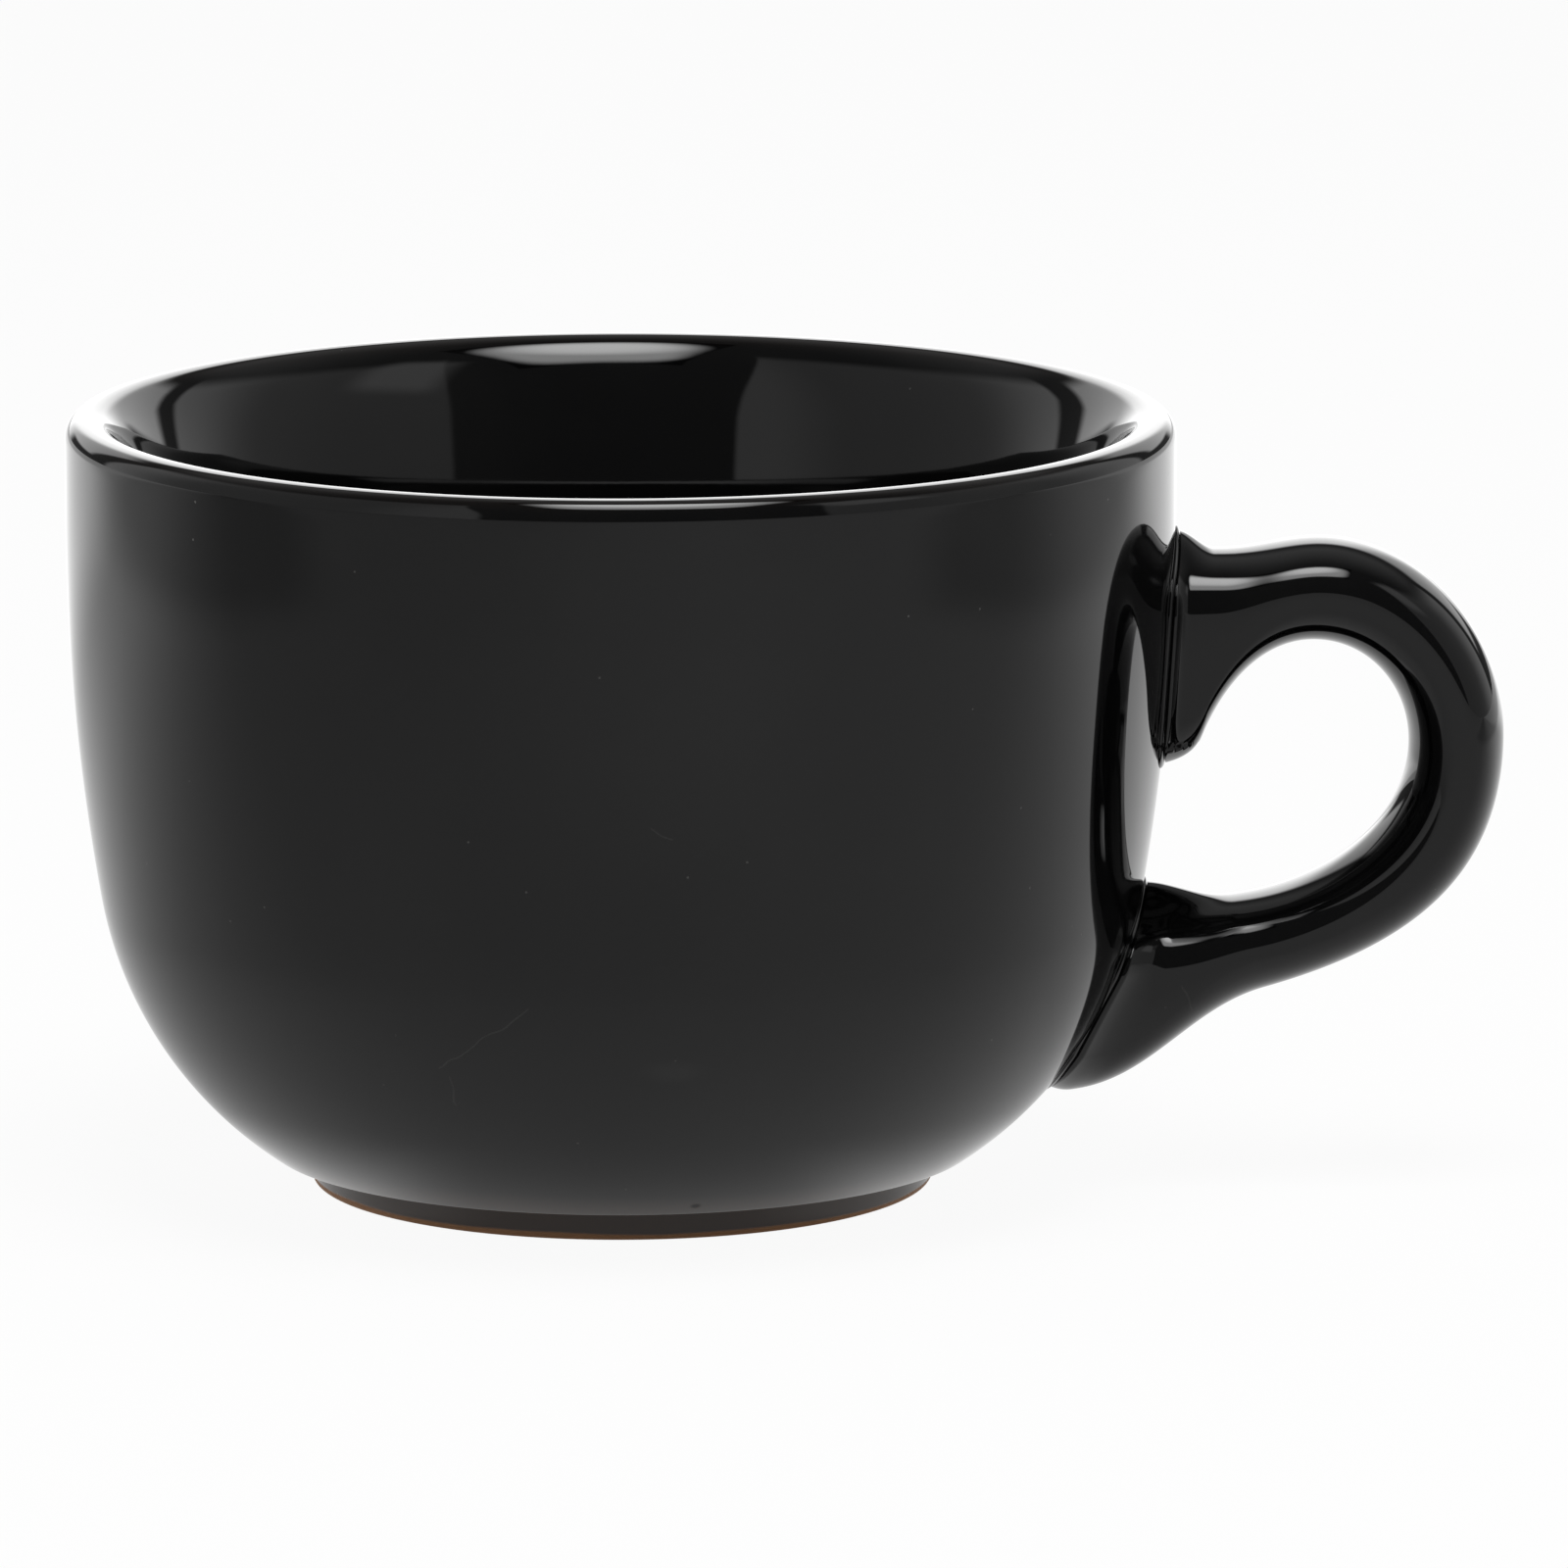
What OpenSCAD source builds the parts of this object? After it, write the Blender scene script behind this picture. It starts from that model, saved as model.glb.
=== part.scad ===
// Wide cappuccino mug: a jiggered stoneware body, a cast handle, and the two slip joints that bond them.
// The body's axis is Z, its foot stands on z = 0, and the handle points along +X.

/* [Body] */
// Outer diameter at the rim
rim_d = 112; // [100:0.5:126]
// Height from the table to the top of the lip
height = 78.5; // [70:0.5:92]
// Height of the straight band below the lip
rim_band_h = 9.3; // [6:0.1:14]
// Lean of the wall where the barrel runs into the belly, in degrees
wall_lean = 9.8; // [7:0.1:13]
// Radius of the belly's curve
belly_r = 39.5; // [34:0.5:44]
// Lean of the wall at the belly's lower edge, in degrees
belly_lean = 56; // [50:0.5:60]

/* [Lip and cavity] */
// Radius of the lip's outer edge
lip_r = 1.9; // [1.4:0.1:2.4]
// Width of the flat on top of the lip
lip_flat = 0.4; // [0.2:0.1:1]
// Radius of the lip's inner edge
lip_inner_r = 2.4; // [1.8:0.1:3]
// Radius of the bend below the lip's inner edge
mouth_bend_r = 9.1; // [7:0.1:11]
// Radius of the wider bend below that
throat_bend_r = 19; // [15:0.5:23]
// Radius of the widest bend, which runs into the upright wall
shaft_bend_r = 60; // [48:1:72]
// Height of the cup's floor above the table
floor_h = 7; // [6:0.1:9]
// Radius of the curve between the floor and the wall
floor_bend_r = 28; // [22:0.5:32]

/* [Foot] */
// Height of the foot ring
foot_h = 3.5; // [2.5:0.1:5]
// How far the foot ring is set in under the belly's edge
foot_inset = 4.4; // [3:0.1:6]
// Radius of the cove above the foot ring
foot_cove_r = 1.2; // [0.6:0.1:2]
// Width of the foot ring
foot_ring_w = 4; // [3:0.1:6]
// Depth of the recess inside the foot ring
foot_recess = 2; // [1:0.1:2.8]
// Bevel around the foot ring's contact face
foot_bevel = 0.5; // [0.2:0.1:0.9]

/* [Handle] */
// How far the handle stands out past the rim
handle_reach = 33.4; // [28:0.2:40]
// Drop from the lip to the crest of the arch
crest_drop = 12.85; // [11:0.05:18]
// Distance of the crest from the rim
crest_out = 14.6; // [12:0.1:17]
// Rise of the arch from its root to its crest
arch_rise = 1.15; // [0.4:0.05:2]
// Drop from the crest to the outermost point of the grip
grip_drop = 20.15; // [17:0.05:23]
// Thickness of the arch at its crest
arch_t = 10.25; // [8.5:0.05:12]
// Thickness of the grip at its outermost point
grip_t = 9.6; // [8:0.1:11]
// Thickness of the lower arm
arm_t = 9.6; // [8:0.1:11]
// Height of the lower arm's underside above the table
arm_h = 19.6; // [17:0.1:22]
// Distance of the lower arm's station from the rim
arm_out = 9.2; // [7.5:0.1:11]
// Width of the bar between the roots
grip_w = 16.5; // [14:0.1:19]
// How far each side of the upper root flares out at the wall
upper_flare = 1.2; // [0.6:0.1:1.8]
// Distance from the wall over which it flares
upper_flare_reach = 1.4; // [1:0.1:2]
// How far each side of the lower root flares out at the wall
lower_flare = 2; // [1:0.1:3]
// Distance from the wall over which it flares
lower_flare_reach = 3.8; // [3:0.1:5]
// Height of the upper root on the wall
upper_root_h = 22.2; // [19:0.1:25]
// Height of the shoulder that stands up over the upper root at the wall
shoulder_h = 2.5; // [1.6:0.1:3.2]
// Distance from the rim at which that shoulder ends and the arch starts
root_out = 4.6; // [4:0.1:5.5]
// Thickness of the upper root's lower tip
spur_t = 2.6; // [2:0.1:3.2]
// Height of the lower root's tail above the table
tail_h = 9; // [7.5:0.1:11]
// Thickness of the tail
tail_t = 3; // [2.2:0.1:3.8]
// Fullness of the bar's section, where 2 is an ellipse
section_power = 2.2; // [2:0.1:3]

/* [Slip joints] */
// Thickness of the slip between the wall and the root
slip_t = 0.5; // [0.3:0.1:0.9]
// Width of the bead squeezed out around the root
slip_bead = 0.6; // [0.4:0.1:1.2]

/* [Hidden] */
$fn = 256;
glaze_black = "#1c1c1e";
// Neighbouring arcs overlap by this much, so that they cross cleanly where they are tangent
meet = 0.002;
// Each stretch of the cavity runs on by this much into the next
lap = 1;

// Body: a straight band, a barrel arc and a belly arc, each tangent to the next
rim_r = rim_d / 2;
band_z = height - lip_r - rim_band_h;
barrel_h = band_z - foot_h - belly_r * (sin(belly_lean) - sin(wall_lean));
barrel_r = barrel_h / sin(wall_lean);
barrel_x = rim_r - barrel_r;
belly_x = barrel_x + (barrel_r - belly_r) * cos(wall_lean);
belly_z = band_z - (barrel_r - belly_r) * sin(wall_lean);
edge_r = belly_x + belly_r * cos(belly_lean);
foot_r = edge_r - foot_inset;
foot_in_r = foot_r - foot_ring_w;

// Lean of the wall's inside from upright, in degrees, where the lip's inner edge and the next two bends end
lip_lean = 49;
mouth_lean = 34;
throat_lean = 15;

// Direction in which the wall's inside looks at a lean, and the end of a bend that starts at p
function look(lean) = [-cos(lean), sin(lean)];
function bend_end(p, r, from, to) = p + r * (look(to) - look(from));

// Cavity: bends tangent to each other from the lip down to an upright wall, and one more from there to the floor
lip_edge = [rim_r - lip_r - lip_flat, height];
mouth_top = bend_end(lip_edge, lip_inner_r, 90, lip_lean);
throat_top = bend_end(mouth_top, mouth_bend_r, lip_lean, mouth_lean);
shaft_top = bend_end(throat_top, throat_bend_r, mouth_lean, throat_lean);
shaft_low = bend_end(shaft_top, shaft_bend_r, throat_lean, 0);
cavity_r = shaft_low[0];
floor_r = cavity_r - floor_bend_r;
floor_bend_z = floor_h + floor_bend_r;

// Height at which the barrel arc runs into the belly arc, on a wall grown outwards
function belly_top_z(grow) = band_z - (barrel_r + grow) * sin(wall_lean);

// Radius of the body's outer wall at height z
function wall_r(z) =
    z > band_z ? rim_r
    : z > belly_top_z(0) ? barrel_x + sqrt(barrel_r ^ 2 - (band_z - z) ^ 2)
    : belly_x + sqrt(belly_r ^ 2 - (belly_z - z) ^ 2);

// Heights that the handle's stations are set out from
crest_z = height - crest_drop;
grip_z = crest_z - grip_drop;
arch_z = crest_z - arch_rise;
root_low_z = arch_z - upper_root_h;
arm_top_z = arm_h + arm_t;

// Both ends of the bar run on this far inside the wall before they are cut to it
root_sink = 3;
// The arch's line is level for this far from the rim, where the spur is still blunt
root_flat = 2.45;
// Power of the cosine with which the shoulder fades from the bar's top towards its sides
shoulder_power = 6;
// The hole's top and its widest point lie this much nearer the wall, and lower, than the bar's outside
crest_lag = 0.7;
grip_lag = 0.9;
// The top of the lower arm lies this much nearer the wall than its underside
arm_lag = 3;
// The tip of the upper root rounds up to this height, and over this height into its flare, this much further out
spur_tip_h = 1.1;
spur_h = 3;
spur_flare = 1.4;
// The lower arm's top starts to rise this far from the wall, by this much, and as much as this inside the wall
arm_root_out = 2.6;
arm_root_rise = 1.2;
arm_tuck = 3.8;
// The tail's underside turns up by this much inside the wall
tail_tuck = 2.8;

// Stations of the bar's two rails, from the upper root to the lower, as [distance from the axis, height, heading]
outer_rail = [
    [wall_r(arch_z) - root_sink, arch_z, 0],
    [rim_r + root_flat, arch_z, 0],
    [rim_r + root_out, arch_z, 0],
    [rim_r + crest_out, crest_z, 0],
    [rim_r + handle_reach, grip_z, -90],
    [rim_r + arm_out, arm_h, -164],
    [wall_r(tail_h) + tail_t, tail_h, -174],
    [wall_r(tail_h) - root_sink, tail_h + tail_tuck, -200]
];
inner_rail = [
    [wall_r(root_low_z) - root_sink, root_low_z, 5],
    [wall_r(root_low_z) + spur_t, root_low_z + spur_tip_h, 35],
    [wall_r(root_low_z) + spur_t + spur_flare, root_low_z + spur_h, 69],
    [rim_r + crest_out - crest_lag, crest_z - arch_t, 0],
    [rim_r + handle_reach - grip_t, grip_z - grip_lag, -90],
    [rim_r + arm_out - arm_lag, arm_top_z, -180],
    [wall_r(arm_top_z) + arm_root_out, arm_top_z + arm_root_rise, -199],
    [wall_r(arm_top_z) - root_sink, arm_top_z + arm_tuck, -210]
];
// Share of each piece's chord that its tangent arms take, and the rings along it
outer_arm = [0.36, 0.36, 0.36, 0.37, 0.42, 0.36, 0.36];
inner_arm = [0.35, 0.35, 0.36, 0.39, 0.37, 0.36, 0.36];
piece_rings = [6, 4, 7, 10, 12, 8, 6];
section_sides = 28;
last_piece = len(piece_rings) - 1;

function direction(angle) = [cos(angle), sin(angle)];
function point(station) = [station[0], station[1]];
function bezier(p, t) =
    (1 - t) ^ 3 * p[0] + 3 * (1 - t) ^ 2 * t * p[1] + 3 * (1 - t) * t ^ 2 * p[2] + t ^ 3 * p[3];

// The point at share t of piece i of a rail, on a cubic that leaves and meets the stations at their headings
function rail_point(rail, arms, i, t) =
    let (
        a = point(rail[i]),
        b = point(rail[i + 1]),
        arm = arms[i] * norm(b - a)
    )
    bezier([a, a + arm * direction(rail[i][2]), b - arm * direction(rail[i + 1][2]), b], t);

// Flare of the bar's sides at a point of its middle plane, which fades out with the distance from the wall
function fade(d, reach) = max(0, 1 - max(0, d) / reach) ^ 2;
function flare(p) =
    let (d = p[0] - wall_r(p[1]))
    p[1] > grip_z ? upper_flare * fade(d, upper_flare_reach) : lower_flare * fade(d, lower_flare_reach);

// Rise of the shoulder at a point of the bar's middle plane, at an angle around the section
function shoulder(p, a) =
    let (s = min(1, max(0, p[0] - wall_r(p[1])) / root_out))
    p[1] > grip_z ? shoulder_h * (1 - (3 - 2 * s) * s ^ 2) * max(0, cos(a)) ^ shoulder_power : 0;

function power_cos(a) = sign(cos(a)) * abs(cos(a)) ^ (2 / section_power);
function power_sin(a) = sign(sin(a)) * abs(sin(a)) ^ (2 / section_power);

// One ring of the bar between its rails, swollen by grow on every side
function ring(i, t, grow) =
    let (
        p = rail_point(outer_rail, outer_arm, i, t),
        q = rail_point(inner_rail, inner_arm, i, t),
        across = (p - q) / norm(p - q),
        mid = (p + q) / 2,
        half = (p - q) / 2 + grow * across
    )
    [for (k = [0 : section_sides - 1])
        let (a = 360 * k / section_sides, c = mid + power_cos(a) * half)
        [c[0], (grip_w / 2 + flare(c) + grow) * power_sin(a), c[1] + shoulder(c, a)]];

// Skins a list of rings and closes both ends
module loft(rings) {
    n = len(rings[0]);
    last = len(rings) - 1;
    sides = [for (j = [0 : last - 1], k = [0 : n - 1])
        let (a = j * n + k, b = j * n + (k + 1) % n)
        each [[a, b, a + n], [b, b + n, a + n]]];
    ends = [[for (k = [n - 1 : -1 : 0]) k], [for (k = [0 : n - 1]) last * n + k]];
    polyhedron(points = [for (r = rings) each r], faces = concat(sides, ends));
}

// The part of a half plane between two heights
module band(z_low, z_high) {
    translate([0, z_low]) square([rim_d, z_high - z_low]);
}

module disc(x, z, r) {
    translate([x, z]) rotate(-90) circle(r);
}

// Half section of everything inside the outer wall, from the foot's top to the lip, grown outwards
module wall_section(grow) {
    translate([0, band_z]) square([rim_r + grow, rim_band_h]);
    intersection() {
        disc(barrel_x, band_z, barrel_r + grow + meet);
        band(belly_top_z(grow), band_z + rim_band_h);
    }
    intersection() {
        disc(belly_x, belly_z, belly_r + grow + 2 * meet);
        band(foot_h, band_z);
    }
}

module foot_section() {
    polygon([
        [foot_in_r, 0], [foot_r - foot_bevel, 0], [foot_r, foot_bevel], [foot_r, foot_h + foot_cove_r],
        [0, foot_h + foot_cove_r], [0, foot_recess], [foot_in_r, foot_recess]
    ]);
    difference() {
        translate([foot_r, foot_h - foot_cove_r]) square(foot_cove_r);
        disc(foot_r + foot_cove_r, foot_h - foot_cove_r, foot_cove_r);
    }
}

// The hollow beside one bend of the wall's inside, from where the bend starts at a lean down to another height
module bend_hollow(start, r, lean, z_low, overlap) {
    centre = start - r * look(lean);
    difference() {
        translate([0, z_low]) square([start[0] + lap, start[1] + lap - z_low]);
        disc(centre[0], centre[1], r - overlap);
    }
}

module cavity_section() {
    difference() {
        translate([0, mouth_top[1]]) square([lip_edge[0], height]);
        disc(lip_edge[0], height - lip_inner_r, lip_inner_r);
    }
    bend_hollow(mouth_top, mouth_bend_r, lip_lean, throat_top[1], meet);
    bend_hollow(throat_top, throat_bend_r, mouth_lean, shaft_top[1], 2 * meet);
    bend_hollow(shaft_top, shaft_bend_r, throat_lean, shaft_low[1], 3 * meet);
    translate([0, floor_bend_z]) square([cavity_r + 4 * meet, shaft_low[1] + lap - floor_bend_z]);
    intersection() {
        union() {
            translate([0, floor_h]) square([floor_r, floor_bend_r]);
            disc(floor_r, floor_bend_z, floor_bend_r + 5 * meet);
        }
        band(floor_h, floor_bend_z + lap);
    }
}

// Everything inside the outer wall as a solid, grown outwards, which the roots and the slip are cut to
module wall_solid(grow) {
    rotate_extrude() wall_section(grow);
}

module body() {
    color(glaze_black)
        rotate_extrude() {
            difference() {
                union() {
                    wall_section(0);
                    foot_section();
                    translate([0, band_z]) square([rim_r - lip_r, height - band_z]);
                    disc(rim_r - lip_r, height - lip_r, lip_r);
                }
                cavity_section();
            }
        }
}

// The bar from the start of one piece to the end of another, cut to its seat on the slip
module bar(first, last) {
    difference() {
        loft(concat(
            [for (i = [first : last], j = [0 : piece_rings[i] - 1]) ring(i, j / piece_rings[i], 0)],
            [ring(last, 1, 0)]
        ));
        wall_solid(slip_t);
    }
}

module handle() {
    color(glaze_black) bar(0, last_piece);
}

// Rings along a bead, and its thickness where it ends on the bar
bead_rings = 8;
bead_edge = 0.15;
// Share of a root piece that is sunk in the wall
root_share = root_sink / (root_sink + root_flat);

// Width of a bead at share u of its root piece from the sunk end: full at the wall, rounding off to its edge
function bead(w, u) =
    bead_edge + (w - bead_edge) * (1 - max(0, (u - root_share) / (1 - root_share)) ^ 1.5);

// Slip between one root and the wall, with the bead that it leaves around the root
module slip_joint(piece, sunk_first) {
    steps = sunk_first ? [0 : bead_rings] : [bead_rings : -1 : 0];
    difference() {
        loft([for (j = steps)
            let (u = j / bead_rings, t = sunk_first ? u : 1 - u)
            ring(piece, t, bead(slip_bead, u))]);
        bar(max(0, piece - 1), min(last_piece, piece + 1));
        wall_solid(0);
    }
}

module upper_slip_joint() {
    color(glaze_black) slip_joint(0, true);
}

module lower_slip_joint() {
    color(glaze_black) slip_joint(last_piece, false);
}

body();
handle();
upper_slip_joint();
lower_slip_joint();
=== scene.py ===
# %% [markdown]
# # A black glazed cappuccino mug
# A stoneware mug is four pieces of clay. The cup is pressed or turned, the handle is cast by itself, and
# slip, which is liquid clay, bonds the handle's two roots to the wall. One black glaze then covers
# everything and is fired to a mirror. This lesson builds those four pieces over the packed CAD model and
# puts them in a plain white studio.
#
# The CAD model is the fixed frame. It says where each piece is and how big it is, so it is loaded first
# and measured before anything is added.

import bpy
import numpy as np
from mathutils import Matrix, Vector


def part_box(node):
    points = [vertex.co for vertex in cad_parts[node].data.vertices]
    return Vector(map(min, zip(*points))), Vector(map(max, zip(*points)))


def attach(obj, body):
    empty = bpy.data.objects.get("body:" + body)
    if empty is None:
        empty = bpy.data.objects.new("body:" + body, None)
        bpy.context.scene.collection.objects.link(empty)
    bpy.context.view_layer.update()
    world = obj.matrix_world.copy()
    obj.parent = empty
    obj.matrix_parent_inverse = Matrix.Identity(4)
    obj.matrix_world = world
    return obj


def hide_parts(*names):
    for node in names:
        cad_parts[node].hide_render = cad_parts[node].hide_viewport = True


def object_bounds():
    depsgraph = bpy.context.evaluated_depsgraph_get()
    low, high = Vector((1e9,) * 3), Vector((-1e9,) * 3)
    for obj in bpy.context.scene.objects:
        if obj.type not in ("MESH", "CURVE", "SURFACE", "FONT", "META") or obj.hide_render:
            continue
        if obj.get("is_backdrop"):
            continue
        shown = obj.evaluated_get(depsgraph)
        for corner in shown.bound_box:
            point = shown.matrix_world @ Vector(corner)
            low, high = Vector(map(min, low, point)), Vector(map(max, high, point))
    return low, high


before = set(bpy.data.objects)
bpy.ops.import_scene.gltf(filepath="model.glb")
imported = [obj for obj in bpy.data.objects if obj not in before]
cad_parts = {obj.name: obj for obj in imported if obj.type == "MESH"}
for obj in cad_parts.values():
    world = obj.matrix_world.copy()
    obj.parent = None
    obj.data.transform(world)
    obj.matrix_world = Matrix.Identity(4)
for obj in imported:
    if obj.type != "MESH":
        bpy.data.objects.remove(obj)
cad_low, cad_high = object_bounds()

MM = 0.001


def box_mm(low, high):
    """Length, width and height of a box in millimetres."""
    return [round((b - a) / MM, 1) for a, b in zip(low, high)]


print("CAD nodes:", sorted(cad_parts))
print("CAD box in mm:", box_mm(cad_low, cad_high))

# %% [markdown]
# ## From points to a mesh
# Every piece here is a stack of closed rings of points: the rings of a pot on a wheel, or the sections of
# a bar. Blender's Spin tool could turn the cup, and a curve with a bevel could draw the handle, but a
# stack of rings gives both with one helper and leaves each point where its formula puts it. The helper
# joins neighbouring rings with quads and closes an end with a fan of triangles.

# %% Skin a stack of rings
def skin(rings, start=None, end=None):
    """Points and faces over rings[ring, point, xyz]. Face (i, k) joins points k and k + 1 of rings i and
    i + 1. A start or an end point closes that end with a fan."""
    rows, cols = rings.shape[:2]
    here = np.arange(rows * cols).reshape(rows, cols)
    beside = np.roll(here, -1, axis=1)
    points = rings.reshape(-1, 3)
    quads = np.stack([here[:-1], beside[:-1], beside[1:], here[1:]], axis=-1)
    faces = quads.reshape(-1, 4).tolist()
    for tip, edge, way in ((start, 0, 1), (end, rows - 1, -1)):
        if tip is not None:
            pole = np.full(cols, len(points))
            faces += np.stack([pole, beside[edge], here[edge]], axis=-1)[:, ::way].tolist()
            points = np.vstack([points, tip])
    return points, faces


print("3 rings of 8 points and a pole make", len(skin(np.zeros((3, 8, 3)), start=[0, 0, 0])[1]), "faces")

# %% [markdown]
# A piece of clay is closed, and its faces have to look outwards. Blender can recalculate normals in edit
# mode, but there is a plainer test: the volume inside the faces is negative when they look inwards, and
# then they are flipped. The same number says how much clay the piece takes.

# %% Measure a mesh and make a piece
def volume(mesh):
    """Volume inside a mesh: a sixth of the sum of a . (b x c) over its triangles."""
    mesh.calc_loop_triangles()
    corners = np.zeros(len(mesh.loop_triangles) * 3, dtype=np.int32)
    mesh.loop_triangles.foreach_get("vertices", corners)
    places = np.zeros(len(mesh.vertices) * 3, dtype=np.float32)
    mesh.vertices.foreach_get("co", places)
    a, b, c = places.astype(float).reshape(-1, 3)[corners.reshape(-1, 3)].transpose(1, 0, 2)
    return np.einsum("ij,ij->", a, np.cross(b, c)) / 6


def put_in_scene(name, data):
    """An object that holds a mesh or a camera, at the origin, unturned and unscaled."""
    made = bpy.data.objects.new(name, data)
    bpy.context.scene.collection.objects.link(made)
    return made


def piece(name, points, faces):
    """A smooth closed object from points in millimetres, with its faces outwards and its place in its
    mesh."""
    mesh = bpy.data.meshes.new(name)
    mesh.from_pydata((points * MM).tolist(), [], faces)
    if volume(mesh) < 0:
        mesh.flip_normals()
    mesh.shade_smooth()
    clay = round(volume(mesh) / MM**3)
    print(name, "has", len(mesh.loop_triangles), "triangles and", clay, "cubic mm of clay")
    return put_in_scene(name, mesh)


print("Pieces go into", bpy.context.scene.collection.name)

# %% [markdown]
# ## The cup's outline
# On the wheel a cup is one outline turned about an axis, so its outline is all that has to be drawn. It
# could be a curve traced by hand. Here it is a chain of arcs that run into each other without a kink, as
# they do under a potter's rib, and each arc is one radius that can be changed. The outline is followed by
# the direction in which its surface looks. A bend of radius r turns that direction from one angle to the
# next, and a negative radius makes a hollow bend.

# %% Outline helpers
OUT, DOWN, UP, INWARD = 0, -90, 90, 180
SAME_POINT = 1e-6


def facing(angle):
    """Unit vector, as distance from the axis and height, of a direction given in degrees."""
    return np.stack([np.cos(np.radians(angle)), np.sin(np.radians(angle))], axis=-1)


def bend(start, r, look, look_end, n):
    """Carries an outline round a circle of radius r: the centre lies r behind start, and n points turn
    about it while the surface's outward direction goes from look to look_end."""
    centre = np.asarray(start) - r * facing(look)
    return centre + r * facing(np.linspace(look, look_end, n))


def chain(start, look, bends):
    """One bend after another, each (radius, direction at its end, points), from a point on."""
    path = [np.asarray(start, float)[None]]
    for r, look_end, n in bends:
        path.append(bend(path[-1][-1], r, look, look_end, n)[1:])
        look = look_end
    return np.concatenate(path)


def straight(a, b, n):
    """n even points from a to b."""
    return np.linspace(a, b, n)


def join(*stretches):
    """Stretches of an outline end to end, without the points that repeat where they meet."""
    path = np.concatenate(stretches)
    apart = np.linalg.norm(np.diff(path, axis=0), axis=1) > SAME_POINT
    return path[np.concatenate([[True], apart])]


print("A quarter bend of radius 1 from (1, 0) ends at", np.round(bend([1, 0], 1, OUT, UP, 5)[-1], 3))

# %% [markdown]
# ### The outer wall
# From the lip down, the wall is an upright band, then a barrel that leans in a little, and then the round
# belly. Only a few sizes are free. The barrel's radius follows from them, because its circle has to leave
# the band upright and run into the belly's circle at the same lean. The height and the rim's radius come
# from the CAD body, so that the cup keeps the frame's size. The wall is also a function of height,
# because the handle's roots and the slip are fitted to it further down.

# %% Sizes of the cup, in millimetres, and its outer wall
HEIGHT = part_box("body")[1].z / MM
RIM_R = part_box("body")[1].x / MM
BAND_H = 9.0
LIP_H = 2.2
WALL_LEAN = 9.8
BELLY_R = 39.5
BELLY_LEAN = 56.0
FOOT_H = 3.5

band_z = HEIGHT - LIP_H - BAND_H
sin_wall, sin_belly = np.sin(np.radians([WALL_LEAN, BELLY_LEAN]))
barrel_r = (band_z - FOOT_H - BELLY_R * (sin_belly - sin_wall)) / sin_wall
barrel_centre = np.array([RIM_R - barrel_r, band_z])
belly_centre = barrel_centre + (barrel_r - BELLY_R) * facing(-WALL_LEAN)
belly_top_z = band_z - barrel_r * sin_wall


def wall_r(z):
    """Radius of the outer wall at height z: the rim's above the band's foot, then the barrel's circle,
    then the belly's."""
    z = np.asarray(z, float)
    barrel = barrel_centre[0] + np.sqrt(np.maximum(barrel_r**2 - (band_z - z) ** 2, 0))
    belly = belly_centre[0] + np.sqrt(np.maximum(BELLY_R**2 - (belly_centre[1] - z) ** 2, 0))
    return np.where(z > band_z, RIM_R, np.where(z > belly_top_z, barrel, belly))


print("barrel radius", round(barrel_r, 1), "and belly centre", np.round(belly_centre, 2))

# %% [markdown]
# ### The foot
# The foot ring is what the mug stands on. The belly ends in a soft edge, runs in flat underneath, and a
# small cove leads down to the ring. The ring's two lower edges are rounded by the sponge that wipes the
# glaze off before firing. A Bevel modifier could round those edges, but as arcs of the outline each keeps
# its own radius.

# %% Outline of the foot
EDGE_ROUND = 1.2
FOOT_INSET = 4.4
FOOT_W = 4.0
FOOT_COVE = 1.2
FOOT_ROUND = 0.5
RECESS = 2.0
RECESS_ROUND = 1.0
POLE_R = 2.0
EDGE_POINTS, COVE_POINTS, TOE_POINTS = 12, 10, 8
RECESS_POINTS, FLAT_POINTS = 6, 4

edge_centre_z = FOOT_H + EDGE_ROUND
edge_drop = belly_centre[1] - edge_centre_z
edge_centre_x = belly_centre[0] + np.sqrt((BELLY_R - EDGE_ROUND) ** 2 - edge_drop**2)
edge_look = -np.degrees(np.arctan2(edge_drop, edge_centre_x - belly_centre[0]))
foot_r = belly_centre[0] + BELLY_R * np.cos(np.radians(BELLY_LEAN)) - FOOT_INSET
foot_in_r = foot_r - FOOT_W
recess_r = foot_in_r - RECESS_ROUND

recess = bend([recess_r, RECESS], -RECESS_ROUND, DOWN, -INWARD, TOE_POINTS)
inner_toe = bend([foot_in_r, FOOT_ROUND], FOOT_ROUND, -INWARD, DOWN, TOE_POINTS)
outer_toe = bend([foot_r - FOOT_ROUND, 0], FOOT_ROUND, DOWN, OUT, TOE_POINTS)
cove = bend([foot_r, FOOT_H - FOOT_COVE], -FOOT_COVE, OUT, DOWN, COVE_POINTS)
belly_edge = bend([edge_centre_x, FOOT_H], EDGE_ROUND, DOWN, edge_look, EDGE_POINTS)
foot_outline = join(
    straight([POLE_R, RECESS], [recess_r, RECESS], RECESS_POINTS),
    recess,
    inner_toe,
    straight(inner_toe[-1], outer_toe[0], FLAT_POINTS),
    outer_toe,
    straight(outer_toe[-1], cove[0], FLAT_POINTS),
    cove,
    straight(cove[-1], belly_edge[0], FLAT_POINTS),
    belly_edge,
)
print("foot ring from", round(foot_in_r, 1), "to", round(foot_r, 1), "mm from the axis")

# %% [markdown]
# ### The lip and the inside
# A drinking lip is thin, and the wall thickens below it. A cavity could be the outside made smaller, but
# then the lip would be as thick as the wall. So the inside has its own outline: the surface rolls off the
# lip in ever wider bends until it is upright, and a wide hollow bend carries it into the floor. The
# length of the upright stretch is what is left of the height after the bends.

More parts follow.
